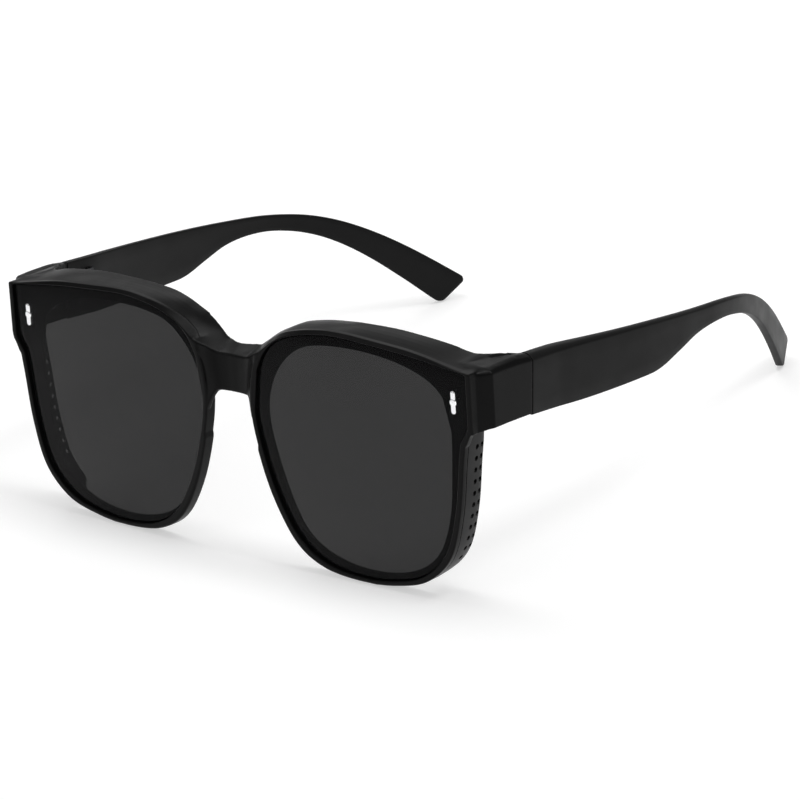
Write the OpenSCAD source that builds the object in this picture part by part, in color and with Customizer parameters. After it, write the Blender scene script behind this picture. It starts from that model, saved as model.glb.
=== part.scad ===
// Full-rim sunglasses that fit over a wearer's own glasses.
// They are set down as they rest: on both rims and on both temple tips.
// Lengths are millimetres. X runs across the face, Y runs back from the lenses, Z is up.
// The shapes below are drawn about the bridge, with the lenses upright, and then tipped back to rest.

/* [Lenses] */
// Width of one lens
lens_w = 64; // [58:0.5:68]
// Height of one lens
lens_h = 58.5; // [52:0.5:62]
// Gap between the two lenses at the bridge
lens_gap = 16.8; // [15:0.2:20]
// Thickness of the lens
lens_t = 1.5; // [1.2:0.1:2]
// Turn of each lens back towards its temple, in degrees
wrap = 1.9; // [0:0.1:4]
// Gap round the lens in its pocket
lens_play = 0.12; // [0.05:0.01:0.2]

/* [Rims] */
// How far the front lip stands ahead of the lens
lip_proud = 0.8; // [0.4:0.1:1.4]
// Depth of the ledge behind the lens
ledge_t = 0.9; // [0.7:0.1:1.6]
// Width of the lip beside the nose
lip_nose = 0.85; // [0.7:0.05:1.6]
// Width of the lip on the outer side
lip_side = 1.3; // [1:0.05:2]
// Width of the lip along the top
lip_top = 1.1; // [0.8:0.05:2]
// Width of the lip along the bottom
lip_foot = 1.25; // [1:0.05:2]

/* [Brow and bridge] */
// Thickness of the brow shelf
brow_t = 2.2; // [1.6:0.1:3]
// Height of the bridge at its front
bridge_h = 9.2; // [7:0.1:11]
// How far the bridge's front is set back from the lens
bridge_set = 1.3; // [0.5:0.1:2]
// Thickness of the bridge, front to back
bridge_t = 3.2; // [2.5:0.1:4.5]

/* [Side shields] */
// How far back the side shield reaches behind the lens
shield_reach = 7.4; // [7:0.1:10]
// Thickness of the side shield
shield_t = 1.2; // [1:0.1:1.6]
// Diameter of a vent
vent_d = 0.95; // [0.6:0.05:1.2]
// Vents in the front column
vent_rows = 11; // [6:1:11]

/* [Temples] */
// How far the temple's outer face stands out past the rim
temple_flare = 2.6; // [2:0.1:4]
// Thickness of the temple at the hinge
temple_t = 3.6; // [3.2:0.1:4.4]
// Thickness of the temple at its tip
tip_t = 2; // [1.6:0.1:3]
// Distance from the lens back to the seam at the hinge
seam_y = 21; // [19:0.5:25]
// Length of the temple from the seam to its tip
temple_len = 129.5; // [118:0.5:140]
// How far the temple's tip curves in
tip_in = 22; // [16:0.5:26]
// How far the temple's tip drops below its root
tip_drop = 34.5; // [26:0.5:40]
// Gap at the seam
seam_gap = 0.2; // [0.1:0.05:0.4]
// Rounding of the tip's corners
tip_round = 2.2; // [1:0.1:3]

/* [Hinges] */
// Radius of a hinge knuckle
knuckle_r = 1.6; // [1.4:0.1:1.9]
// Height of the hinge
hinge_h = 7.6; // [7:0.2:8.4]
// Radius of the hinge screw's shank
pin_r = 0.7; // [0.5:0.05:0.8]
// Gap round the hinge screw
pin_play = 0.05; // [0.02:0.01:0.08]
// Thickness of a hinge leaf
leaf_t = 1; // [0.8:0.1:1.2]
// Length of a hinge leaf's plate
leaf_len = 6.8; // [6:0.2:8]
// Thickness of a hinge washer
washer_t = 0.25; // [0.2:0.01:0.35]
// Radius of a leaf screw's shank
screw_r = 0.55; // [0.4:0.05:0.65]

/* [Lens rivets] */
// Height of the bar on the lens
rivet_h = 6; // [5:0.1:7]
// Width of the bar on the lens
rivet_w = 1.4; // [1.1:0.1:1.8]
// Radius of the round boss at the bar's middle
boss_r = 0.95; // [0.8:0.05:1.2]
// How far the bar stands ahead of the lens
rivet_proud = 0.25; // [0.1:0.05:0.5]

/* [Hidden] */

LEFT = 1;
RIGHT = -1;
BIG = 400;
EPS = 0.01;
ROUND_FN = 48;
SPAN_STEPS = 4;

// Points of a smooth curve through p, with end tangents taken from the curve itself
function curve_point(a, b, c, d, t) =
    0.5 * (2 * b + (c - a) * t + (2 * a - 5 * b + 4 * c - d) * t * t + (3 * b - a - 3 * c + d) * t * t * t);
function curve(p, steps = SPAN_STEPS) =
    let (q = concat([2 * p[0] - p[1]], p, [2 * p[len(p) - 1] - p[len(p) - 2]]))
    [for (i = [1 : len(q) - 3], k = [0 : steps - (i < len(q) - 3 ? 1 : 0)])
        curve_point(q[i - 1], q[i], q[i + 1], q[i + 2], k / steps)];
function closed_curve(p, steps = SPAN_STEPS) =
    let (n = len(p))
    [for (i = [0 : n - 1], k = [0 : steps - 1])
        curve_point(p[(i + n - 1) % n], p[i], p[(i + 1) % n], p[(i + 2) % n], k / steps)];

// Outline grown outwards, by its own amount towards each side
function unit(v) = v / norm(v);
function side_of(a, b) = let (d = unit(b - a)) [-d[1], d[0]];
function amount(n, nose, side, top, foot) =
    n[0] * n[0] * (n[0] > 0 ? side : nose) + n[1] * n[1] * (n[1] > 0 ? top : foot);
function grow(p, nose, side, top, foot) =
    let (n = len(p))
    [for (i = [0 : n - 1])
        let (a = side_of(p[(i + n - 1) % n], p[i]), b = side_of(p[i], p[(i + 1) % n]))
        p[i] + (a + b) / (1 + a * b) * amount(unit(a + b), nose, side, top, foot)];
function grow_all(p, d) = grow(p, d, d, d, d);

// Lens outline, seen from the front, as shares of the lens's width and height
LENS_SHAPE = [[0.962, 0.656], [0.95, 0.569], [0.922, 0.356], [0.868, 0.176], [0.759, 0.062],
              [0.62, 0.014], [0.47, 0], [0.306, 0.027], [0.183, 0.111], [0.0875, 0.279],
              [0.0234, 0.484], [0, 0.655], [0.022, 0.793], [0.08, 0.901], [0.181, 0.964],
              [0.369, 1], [0.59, 0.99], [0.79, 0.971], [1, 0.94]];
EAR_SHAPE = [[1, 0.94], [1, 0.715]];
// Opening in the ledge behind the lens, as the same shares
SIGHT_SHAPE = [[0.895, 0.71], [0.89, 0.52], [0.868, 0.31], [0.8, 0.14], [0.66, 0.045],
               [0.465, 0.02], [0.29, 0.058], [0.17, 0.15], [0.081, 0.34], [0.034, 0.569],
               [0.04, 0.72], [0.1, 0.845], [0.24, 0.925], [0.447, 0.947], [0.65, 0.927],
               [0.798, 0.875], [0.874, 0.8]];
FOOT_SHARE = 0.74;
lens_foot = -FOOT_SHARE * lens_h;
function on_lens(s) = [lens_gap / 2 + s[0] * lens_w, lens_foot + s[1] * lens_h];
function all_on_lens(list) = [for (s = list) on_lens(s)];
lens_line = concat(curve(all_on_lens(LENS_SHAPE)), [on_lens(EAR_SHAPE[1])]);
pocket_line = grow_all(lens_line, lens_play);
rim_line = grow(pocket_line, lip_nose, lip_side, lip_top, lip_foot);
sight_line = closed_curve(all_on_lens(SIGHT_SHAPE));
rim_back = lens_t + lens_play + ledge_t;
rim_top = lens_foot + lens_h + lens_play + lip_top;
rim_foot = lens_foot - lens_play - lip_foot;
ear = on_lens(EAR_SHAPE[0]);
ear_foot = on_lens(EAR_SHAPE[1]);
ear_x = ear[0] + lens_play + lip_side;

// Brow shelf: its front edge is the rim line, its back edge goes through these points
BROW_FIRST = 12 * SPAN_STEPS;
BROW_LAST = 18 * SPAN_STEPS;
brow_front = [for (i = [BROW_FIRST : BROW_LAST]) rim_line[i]];
BROW_END_GAP = 3.4;
BROW_LIFT = [4.4, 1, 0.4, 0.8, 1.8, 0, -1.2];
BROW_REACH = [5.9, 7.4, 8, 6.9, 5.4, 7, seam_y - BROW_END_GAP];
BROW_SLIDE = [-1.2, -0.1, 0, 0, 0, 0.5, -1.2];
// Depth of the shelf's front edges inside the rim, measured from the rim's side and from its back
BROW_SUNK = [0.62, 0.17];
BROW_ROOT = [1.3, 0.7, 0.5];
BROW_UNDERCUT = 0.6;
EDGE = 0.5;
brow_lifts = curve(BROW_LIFT);
brow_reaches = curve(BROW_REACH);
brow_slides = curve(BROW_SLIDE);

// Bridge
BRIDGE_STEPS = 12;
BRIDGE_FOOT_SHARE = 0.672;
BRIDGE_SUNK = 1.6;
BRIDGE_ARCH = 3.2;
BRIDGE_FLARE = 2.4;
BRIDGE_RISE = 1.8;
BRIDGE_TUCK = 1.5;
bridge_half = lens_gap / 2 + BRIDGE_SUNK;
bridge_foot = lens_foot + lens_h * BRIDGE_FOOT_SHARE;

// End pieces
CORNER_IN = 0.2;
CORNER_SET = 0.6;
CORNER_RUN = 5;
END_PIECE_IN = 3;
END_PIECE_ROOT = 2;

// Temples: middle line seen from above, and the edges seen from the side
temple_out = ear_x + temple_flare;
temple_in = temple_out - temple_t;
temple_mid = temple_out - temple_t / 2;
temple_start = seam_y + seam_gap;
temple_root = 10;
TEMPLE_BOW = [[0, 0], [0.14, 0.05], [0.27, 0.085], [0.41, 0.08],
              [0.55, 0], [0.68, -0.2], [0.83, -0.55], [1, -1]];
temple_free = temple_len - temple_root;
THIN_RATE = 2;
function on_bow(s) = [temple_mid + s[1] * tip_in, temple_start + temple_root + s[0] * temple_free];
temple_line = concat([[temple_mid, temple_start]], curve([for (s = TEMPLE_BOW) on_bow(s)]));
TOP_SHAPE = [[0, 0], [0.35, 0.094], [0.5, 0.146], [0.6, 0.196],
             [0.69, 0.28], [0.78, 0.43], [0.89, 0.692], [1, 1]];
FOOT_SHAPE = [[0, 0.375], [0.145, 0.412], [0.283, 0.426], [0.352, 0.414], [0.414, 0.358], [0.475, 0.303],
              [0.545, 0.284], [0.614, 0.313], [0.698, 0.426], [0.79, 0.635], [0.868, 0.872], [0.945, 1.165]];
TOP_BELOW_EAR = 0.4;
temple_top = ear[1] - TOP_BELOW_EAR;
end_piece_foot = temple_top - FOOT_SHAPE[0][1] * tip_drop;
function on_temple(s) = [temple_start + s[0] * temple_len, temple_top - s[1] * tip_drop];
function all_on_temple(list) = [for (s = list) on_temple(s)];
temple_upper = curve(all_on_temple(TOP_SHAPE));
temple_lower = curve(all_on_temple(FOOT_SHAPE));

upper_end = len(temple_upper) - 1;
lower_end = len(temple_lower) - 1;
tip_corners = [temple_upper[upper_end], temple_lower[lower_end]];
temple_side = concat(
    [for (i = [0 : upper_end - 1]) temple_upper[i]],
    round_corner(temple_upper[upper_end - 1], tip_corners[0], tip_corners[1], tip_round),
    round_corner(tip_corners[0], tip_corners[1], temple_lower[lower_end - 1], tip_round),
    [for (i = [lower_end - 1 : -1 : 0]) temple_lower[i]]);

// Hinge places
hinge_gap = 0.3;
HINGE_RAISE = 0.35;
hinge_x = temple_in - knuckle_r - hinge_gap;
hinge_z = (temple_top + end_piece_foot - hinge_h) / 2 + HINGE_RAISE;
WASHER_PLAY = 0.06;
knuckle_gap = washer_t + WASHER_PLAY;
MIDDLE_SHARE = 0.4;
middle_h = hinge_h * MIDDLE_SHARE;
outer_h = (hinge_h - middle_h) / 2 - knuckle_gap;
middle_z = hinge_z + outer_h + knuckle_gap;
upper_z = hinge_z + hinge_h - outer_h;
leaf_start = 2;
screw_play = 0.02;
SCREW_SKIN = 1;
SCREW_SPARE = 0.1;
screw_deep = temple_t - SCREW_SKIN;
HEAD_RIM = 0.45;
HEAD_SHARE = 0.45;
SCREW_SHARES = [0.22, 0.78];
SCREW_RUN = 0.62;
screw_head_r = screw_r + HEAD_RIM;
screw_head_h = leaf_t * HEAD_SHARE;
screw_zs = [for (share = SCREW_SHARES) hinge_z + hinge_h * share];
screw_y = leaf_start + leaf_len * SCREW_RUN;
PIN_HEAD_H = 0.6;
PIN_HEAD_IN = 0.3;
PIN_SLOT = 0.3;
WASHER_IN = 0.12;

// Lens rivet place
RIVET_FROM_EAR = 4.2;
RIVET_BELOW_MID = 0.4;
rivet_at = [ear[0] - RIVET_FROM_EAR, (ear[1] + ear_foot[1]) / 2 - RIVET_BELOW_MID];
rivet_pin_r = 0.45;
RIVET_PLAY = 0.03;
RIVET_PIN_SUNK = 0.2;
RIVET_PIN_SHARE = 0.6;
rivet_pin_gap = rivet_h * RIVET_PIN_SHARE;

// Side shield
SHIELD_SEAT = 0.05;
shield_top = end_piece_foot - SHIELD_SEAT;
shield_end = 3.5 * SPAN_STEPS;
shield_edge = concat([[rim_line[0][0], shield_top]], [for (i = [0 : shield_end]) rim_line[i]]);
shield_back = grow_all(rim_line, -shield_t);
shield_front = rim_back;
shield_depth = shield_reach - shield_front;
VENT_COLUMNS = [0.43, 0.85];
VENT_FIRST = 0.16;
VENT_LAST = 0.93;
VENT_FN = 16;
VENT_DEEP = 5 * shield_t;

// Rest: the rims' back edge and the tips' lower corner touch the table
REST_SHARE = 0.47;
FLAT_CUT = 0.12;
function depth(p, y) = p[0] * sin(wrap) + y * cos(wrap);
rim_rest = [depth([lens_gap / 2 + lens_w * REST_SHARE, 0], rim_back), rim_foot];
rest_tilt = min([for (p = temple_side) atan2(p[1] - rim_rest[1], p[0] - rim_rest[0])]);
function tipped(y, z) = [y * cos(rest_tilt) + z * sin(rest_tilt), z * cos(rest_tilt) - y * sin(rest_tilt)];
rest_z = -min([for (p = rim_line) tipped(depth(p, rim_back), p[1])[1]]) - FLAT_CUT;
front_y = min([for (p = rim_line) tipped(depth(p, -lip_proud), p[1])[0]]);
far_y = max([for (p = temple_side) tipped(p[0], p[1])[0]]);
mid_y = (far_y + front_y) / 2;

module rest() translate([0, -mid_y, rest_z]) rotate([-rest_tilt, 0, 0]) children();

module table_cut() translate([-BIG / 2, -BIG / 2, -BIG]) cube([BIG, BIG, BIG]);

module to_side(side) mirror([side == LEFT ? 0 : 1, 0, 0]) children();

module half() rotate([0, 0, wrap]) children();

// Plate between two depths, from an outline seen from the front
module plate(y0, y1, line) translate([0, y1, 0]) rotate([90, 0, 0]) linear_extrude(y1 - y0) polygon(line);

// Prism along Z from an outline seen from above
module plan(z0, z1, line) translate([0, 0, z0]) linear_extrude(z1 - z0) polygon(line);

// Prism along X from an outline seen from the side, given as Y and Z
module profile(x0, x1, line)
    translate([x0, 0, 0]) rotate([90, 0, 90]) linear_extrude(x1 - x0) polygon(line);

// Solid through rings of points that each have the same count
module loft(rings) {
    n = len(rings[0]);
    last = len(rings) - 1;
    sides = [for (i = [0 : last - 1], k = [0 : n - 1])
        let (a = i * n + k, b = i * n + (k + 1) % n)
        each [[a, b, a + n], [b, b + n, a + n]]];
    caps = [for (k = [1 : n - 2]) each [[0, k + 1, k], [last * n, last * n + k, last * n + k + 1]]];
    polyhedron(points = [for (r = rings) each r], faces = concat(sides, caps), convexity = 6);
}

module rim() {
    difference() {
        plate(-lip_proud, rim_back, rim_line);
        plate(-lip_proud - 1, lens_t + lens_play, pocket_line);
        plate(-lip_proud - 1, rim_back + 1, sight_line);
        rivet_pins(rivet_pin_r + screw_play);
    }
}

// Shelf behind the top of the rim, which sweeps back to the hinge
module brow() {
    n = len(brow_front) - 1;
    rings = [for (i = [0 : n])
        let (f = brow_front[i], s = -side_of(brow_front[max(i - 1, 0)], brow_front[min(i + 1, n)]),
             r = [f[0] + brow_slides[i], brow_reaches[i], f[1] + brow_lifts[i]])
        [[f[0] + s[0] * BROW_SUNK[0], rim_back - BROW_ROOT[0], f[1] + s[1] * BROW_SUNK[0]],
         [f[0] + s[0] * BROW_SUNK[1], rim_back - BROW_ROOT[1], f[1] + s[1] * BROW_SUNK[1]],
         r,
         [r[0] + s[0] * brow_t, r[1] - BROW_UNDERCUT, r[2] + s[1] * brow_t],
         [f[0] + s[0] * (brow_t + EDGE), rim_back - BROW_ROOT[2], f[1] + s[1] * (brow_t + EDGE)]]];
    loft(rings);
}

// Bridge: a bar between the rims, hollow in front, that opens out into the brow
module bridge() {
    rings = [for (i = [-BRIDGE_STEPS : BRIDGE_STEPS])
        let (x = bridge_half * i / BRIDGE_STEPS, k = pow(i / BRIDGE_STEPS, 2),
             front = bridge_set - k * (bridge_set + lip_proud / 2) + abs(x) * sin(wrap),
             back = bridge_set + bridge_t, top = bridge_foot + bridge_h,
             foot = bridge_foot - BRIDGE_ARCH * k * k)
        [[x, front, foot + EDGE], [x, front, top + k * EDGE],
         [x, back + BRIDGE_FLARE * k, top + BRIDGE_RISE * (1 + k)],
         [x, back - BRIDGE_TUCK * k, foot + 2 * EDGE], [x, front + 2 * EDGE, foot]]];
    loft(rings);
}

// Block that carries the hinge, in line with the temple
module end_piece() {
    corner = ear_x - CORNER_IN;
    front = corner * sin(wrap) - lip_proud + CORNER_SET;
    root = ear[0] - END_PIECE_IN;
    outline = [[root, rim_back + EDGE], [ear[0], front], [corner, front],
               [temple_out, front + CORNER_RUN], [temple_out, seam_y], [temple_in, seam_y],
               [temple_in, rim_back + CORNER_RUN], [root, rim_back + END_PIECE_ROOT]];
    edge = [[-1, rim_top - lip_top + EDGE - (lens_h + lens_foot - ear[1])], [seam_y + 1, temple_top],
            [seam_y + 1, end_piece_foot], [-1, end_piece_foot]];
    intersection() {
        plan(rim_foot, rim_top, outline);
        profile(root - 1, temple_out + 1, edge);
    }
}

module front_frame() {
    color([0.03, 0.03, 0.032])
    difference() {
        rest() {
            difference() {
                union() {
                    for (side = [LEFT, RIGHT]) to_side(side) {
                        half() {
                            rim();
                            brow();
                        }
                        end_piece();
                    }
                    bridge();
                }
                for (side = [LEFT, RIGHT]) to_side(side) {
                    half() plate(-lip_proud - 1, lens_t + lens_play, pocket_line);
                    half() plate(-lip_proud - 1, rim_back + 1, sight_line);
                    leaf_screw_cut(-1);
                }
            }
        }
        table_cut();
    }
}

module lens(side) {
    color([0.12, 0.12, 0.12, 0.6])
    rest() to_side(side) half() difference() {
        plate(0, lens_t, lens_line);
        rivet_bar(-1, lens_t + 1, RIVET_PLAY);
    }
}

// Bar with rounded ends and a round boss at its middle
module rivet_bar(y0, y1, play) {
    w = rivet_w / 2 + play;
    h = rivet_h / 2 - rivet_w / 2;
    translate([rivet_at[0], y1, rivet_at[1]]) rotate([90, 0, 0]) {
        linear_extrude(y1 - y0) translate([-w, -h]) square([2 * w, 2 * h]);
        for (z = [-h, h]) translate([0, z, 0]) cylinder(h = y1 - y0, r = w, $fn = ROUND_FN);
        cylinder(h = y1 - y0, r = boss_r + play, $fn = ROUND_FN);
    }
}

module rivet_pins(r) {
    for (z = [-0.5, 0.5])
        translate([rivet_at[0], rim_back, rivet_at[1] + z * rivet_pin_gap])
            rotate([90, 0, 0]) cylinder(h = rim_back - lens_t + RIVET_PIN_SUNK, r = r, $fn = ROUND_FN);
}

module lens_rivet(side) {
    color("silver")
    rest() to_side(side) half() {
        rivet_bar(-rivet_proud, lens_t, 0);
        rivet_pins(rivet_pin_r);
    }
}

// Point and outward turn at a distance along a line of points
function run(p, i) = i == 0 ? 0 : run(p, i - 1) + norm(p[i] - p[i - 1]);
function along(p, s, i = 1) =
    let (d = norm(p[i] - p[i - 1]), n = side_of(p[i - 1], p[i]))
    (s <= d || i == len(p) - 1)
        ? concat(p[i - 1] + (p[i] - p[i - 1]) * s / d, [-atan2(n[1], n[0])])
        : along(p, s - d, i + 1);

// Vented wall behind the outer rim
module side_shield(side) {
    back = [for (i = [shield_end : -1 : 0]) shield_back[i]];
    line = concat(shield_edge, back, [[shield_back[0][0], shield_top]]);
    wall_len = run(shield_edge, len(shield_edge) - 1);
    color([0.05, 0.05, 0.05])
    rest() to_side(side) half() difference() {
        plate(shield_front, shield_reach, line);
        for (column = [0, 1], row = [0 : vent_rows - 1 - column]) {
            share = VENT_FIRST + (VENT_LAST - VENT_FIRST) * row / (vent_rows - 1);
            at = along(shield_edge, wall_len * share);
            translate([at[0], shield_front + shield_depth * VENT_COLUMNS[column], at[1]])
                rotate([0, at[2] + 90, 0])
                    cylinder(h = VENT_DEEP, r = vent_d / 2, center = true, $fn = VENT_FN);
        }
    }
}

// Corner at b between two straight sides, rounded off
function round_corner(a, b, c, r) =
    [for (k = [0 : SPAN_STEPS])
        let (t = k / SPAN_STEPS, p = b + unit(a - b) * r, q = b + unit(c - b) * r)
        p * (1 - t) * (1 - t) + b * 2 * t * (1 - t) + q * t * t];

module temple(side) {
    m = len(temple_line) - 1;
    thinned = (tip_t - temple_t) / 2;
    half_t = [for (i = [0 : m]) temple_t / 2 + thinned * min(1, max(0, i - 2) / m * THIN_RATE)];
    outer = [for (i = [0 : m])
        temple_line[i] - half_t[i] * side_of(temple_line[max(i - 1, 0)], temple_line[min(i + 1, m)])];
    inner = [for (i = [m : -1 : 0])
        temple_line[i] + half_t[i] * side_of(temple_line[max(i - 1, 0)], temple_line[min(i + 1, m)])];
    color([0.03, 0.03, 0.032])
    difference() {
        rest() to_side(side) difference() {
            intersection() {
                plan(rim_foot - 5, rim_top + 5, concat(outer, inner));
                profile(0, temple_out + tip_in, temple_side);
            }
            leaf_screw_cut(1);
        }
        table_cut();
    }
}

// Two screws through a leaf, ahead of the hinge axis or behind it
module leaf_screws_at(way, grow_r, deep) {
    for (z = screw_zs) translate([temple_in - leaf_t, seam_y + way * screw_y, z]) rotate([0, 90, 0]) {
        cylinder(h = leaf_t + deep, r = screw_r + grow_r, $fn = ROUND_FN);
        cylinder(h = screw_head_h + grow_r, r = screw_head_r + grow_r, $fn = ROUND_FN);
    }
}

module leaf_screw_cut(way) {
    leaf_screws_at(way, screw_play, screw_deep + SCREW_SPARE);
}

module leaf_screws(side, way) {
    color("silver")
    rest() to_side(side) leaf_screws_at(way, 0, screw_deep);
}

module knuckle(z, h) {
    translate([hinge_x, seam_y, z]) cylinder(h = h, r = knuckle_r, $fn = ROUND_FN);
}

// Plate against the inside face, with its knuckles and the webs that join them
module hinge_leaf(side, way, spans) {
    far = leaf_start + leaf_len;
    color("silver")
    rest() to_side(side) difference() {
        union() {
            translate([temple_in - leaf_t, seam_y + (way > 0 ? leaf_start : -far), hinge_z])
                cube([leaf_t, leaf_len, hinge_h]);
            for (span = spans) {
                knuckle(span[0], span[1]);
                translate([hinge_x, seam_y + (way > 0 ? 0 : -leaf_start - leaf_t), span[0]])
                    cube([knuckle_r, leaf_start + leaf_t, span[1]]);
            }
        }
        translate([hinge_x, seam_y, hinge_z - 1])
            cylinder(h = hinge_h + 2, r = pin_r + pin_play, $fn = ROUND_FN);
        leaf_screw_cut(way);
    }
}

module hinge_front_leaf(side) hinge_leaf(side, -1, [[hinge_z, outer_h], [upper_z, outer_h]]);

module hinge_temple_leaf(side) hinge_leaf(side, 1, [[middle_z, middle_h]]);

module hinge_screw(side) {
    color("silver")
    rest() to_side(side) translate([hinge_x, seam_y, hinge_z]) {
        cylinder(h = hinge_h + EPS, r = pin_r, $fn = ROUND_FN);
        translate([0, 0, hinge_h]) difference() {
            cylinder(h = PIN_HEAD_H, r = knuckle_r - PIN_HEAD_IN, $fn = ROUND_FN);
            translate([-knuckle_r, -PIN_SLOT / 2, PIN_HEAD_H / 2])
                cube([2 * knuckle_r, PIN_SLOT, PIN_HEAD_H]);
        }
    }
}

module hinge_washers(side) {
    color("white")
    rest() to_side(side) for (z = [middle_z - knuckle_gap, middle_z + middle_h])
        translate([hinge_x, seam_y, z + (knuckle_gap - washer_t) / 2]) difference() {
            cylinder(h = washer_t, r = knuckle_r - WASHER_IN, $fn = ROUND_FN);
            translate([0, 0, -1]) cylinder(h = washer_t + 2, r = pin_r + pin_play, $fn = ROUND_FN);
        }
}

front_frame();
lens(LEFT);  // lens_left
lens(RIGHT);  // lens_right
lens_rivet(LEFT);  // lens_rivet_left
lens_rivet(RIGHT);  // lens_rivet_right
side_shield(LEFT);  // side_shield_left
side_shield(RIGHT);  // side_shield_right
hinge_front_leaf(LEFT);  // hinge_front_leaf_left
hinge_front_leaf(RIGHT);  // hinge_front_leaf_right
leaf_screws(LEFT, -1);  // front_leaf_screws_left
leaf_screws(RIGHT, -1);  // front_leaf_screws_right
hinge_screw(LEFT);  // hinge_screw_left
hinge_screw(RIGHT);  // hinge_screw_right
hinge_washers(LEFT);  // hinge_washers_left
hinge_washers(RIGHT);  // hinge_washers_right
temple(LEFT);  // temple_left
temple(RIGHT);  // temple_right
hinge_temple_leaf(LEFT);  // hinge_temple_leaf_left
hinge_temple_leaf(RIGHT);  // hinge_temple_leaf_right
leaf_screws(LEFT, 1);  // temple_leaf_screws_left
leaf_screws(RIGHT, 1);  // temple_leaf_screws_right
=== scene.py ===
import math
import bmesh
import bpy
import numpy as np
from mathutils import Matrix, Vector

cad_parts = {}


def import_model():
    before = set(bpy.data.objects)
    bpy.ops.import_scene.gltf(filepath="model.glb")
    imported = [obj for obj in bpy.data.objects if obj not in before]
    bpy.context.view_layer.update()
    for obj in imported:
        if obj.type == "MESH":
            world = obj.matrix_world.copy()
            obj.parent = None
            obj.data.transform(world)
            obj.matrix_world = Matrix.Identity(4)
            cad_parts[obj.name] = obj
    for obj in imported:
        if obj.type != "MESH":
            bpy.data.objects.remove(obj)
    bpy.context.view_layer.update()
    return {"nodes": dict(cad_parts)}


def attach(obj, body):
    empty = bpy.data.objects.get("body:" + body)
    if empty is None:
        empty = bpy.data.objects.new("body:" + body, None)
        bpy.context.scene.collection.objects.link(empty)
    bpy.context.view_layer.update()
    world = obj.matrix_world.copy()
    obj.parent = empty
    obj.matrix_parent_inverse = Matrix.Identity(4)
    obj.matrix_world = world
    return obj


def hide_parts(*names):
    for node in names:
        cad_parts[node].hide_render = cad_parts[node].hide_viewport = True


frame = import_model()
MM = 0.001
SIDES = {"left": 1, "right": -1}

# places and sizes, as in the part's source
# Shapes are drawn in millimetres about the bridge, with the lenses upright, and then tipped back to rest.
TILT = math.radians(6.73225)
MID_Y, REST_Z = 70.5757, 44.6973
WRAP = math.radians(1.9)
LENS_W, LENS_H, LENS_GAP, LENS_T, PLAY = 64.0, 58.5, 16.8, 1.5, 0.12
LENS_FOOT = -0.74 * LENS_H
LIP_PROUD, LEDGE_T = 0.8, 0.9
LIP_NOSE, LIP_SIDE, LIP_TOP, LIP_FOOT = 1.3, 1.3, 1.1, 1.11
FLOOR_Y = LENS_T + PLAY
RIM_BACK = FLOOR_Y + LEDGE_T
SEAM_Y, SEAM_GAP = 21.0, 0.2
TEMPLE_FLARE, TEMPLE_SET = 2.6, 0.4
TEMPLE_T, TIP_T, TEMPLE_LEN = 3.6, 2.0, 129.5
TIP_IN, TIP_DROP, TIP_ROUND = 22.0, 34.5, 2.2
SHIELD_REACH, SHIELD_T = 7.4, 1.2
SHIELD_FROM, SHIELD_TO, SHIELD_EDGE = 0.3, 4.0, 0.35
SHIELD_CUT, SHIELD_CUT_LEN = 2.6, 5
VENT_D, VENT_ROWS, VENT_START, VENT_STEP = 1.3, 11, 5.35, 2.93
VENT_COLUMNS = [[0.38, VENT_ROWS], [0.8, VENT_ROWS - 1]]

# lens and sight opening, as shares of the lens's width and height
LENS_SHAPE = [[0.962, 0.656], [0.95, 0.569], [0.922, 0.356], [0.868, 0.176], [0.759, 0.062],
              [0.62, 0.014], [0.47, 0], [0.306, 0.027], [0.183, 0.111], [0.0875, 0.279],
              [0.0234, 0.484], [0, 0.655], [0.022, 0.793], [0.08, 0.901], [0.181, 0.964],
              [0.369, 1], [0.59, 0.99], [0.79, 0.971], [1, 0.94]]
EAR_PLACE = len(LENS_SHAPE) - 1
EAR_LOW = [1, 0.715]
EAR_TOP_R, EAR_LOW_R, EAR_INNER_R = 0.35, 1.2, 0.8
SIGHT_SHAPE = [[0.895, 0.71], [0.89, 0.52], [0.868, 0.31], [0.8, 0.14], [0.66, 0.045],
               [0.465, 0.02], [0.29, 0.058], [0.175, 0.15], [0.092, 0.34], [0.036, 0.569],
               [0.051, 0.72], [0.122, 0.845], [0.24, 0.925], [0.447, 0.947], [0.65, 0.927],
               [0.798, 0.875], [0.874, 0.8]]

# Rim: a place is a number along LENS_SHAPE, from the outer side, round the foot and the nose, to the ear.
NOSE_CORNER, NOSE_WIDER, NOSE_SPREAD = 12.55, 1.1, 0.65
TOP_NARROWER = 0.7
BROW_START, BROW_FADE, BROW_END = 11.45, 0.7, 18.03
NOSE_DEEPER, BROW_BULGE = 1.3, 0.3
# Rear edge of the brow: place, then x, y, z.
BROW_BACK = [[11.3, 5.2, 5.6, 7.0], [12, 6.6, 7.0, 8.15], [12.5, 8.8, 7.6, 9.65],
             [13, 12.2, 8.05, 11.65], [13.5, 15.8, 8.2, 13.15], [14, 19.6, 8.15, 14.75],
             [14.5, 25.5, 9.0, 15.65], [15, 32, 8.5, 16.4], [15.4, 37.5, 7.6, 17.0],
             [16, 46.2, 8.0, 16.85], [16.5, 52.6, 8.2, 16.35], [17, 59, 8.6, 15.55],
             [17.4, 64.2, 9.2, 14.55], [17.7, 68, 9.9, 13.7], [18, 72.6, 10.2, 12.75],
             [18.2, 73.0, 10.2, 12.65]]
# Inner edge of the lip: how far out from the pocket, and how far behind the lip's front.
LIP_INNER = [[0, 0.25], [0.07, 0.07], [0.22, 0]]
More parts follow.
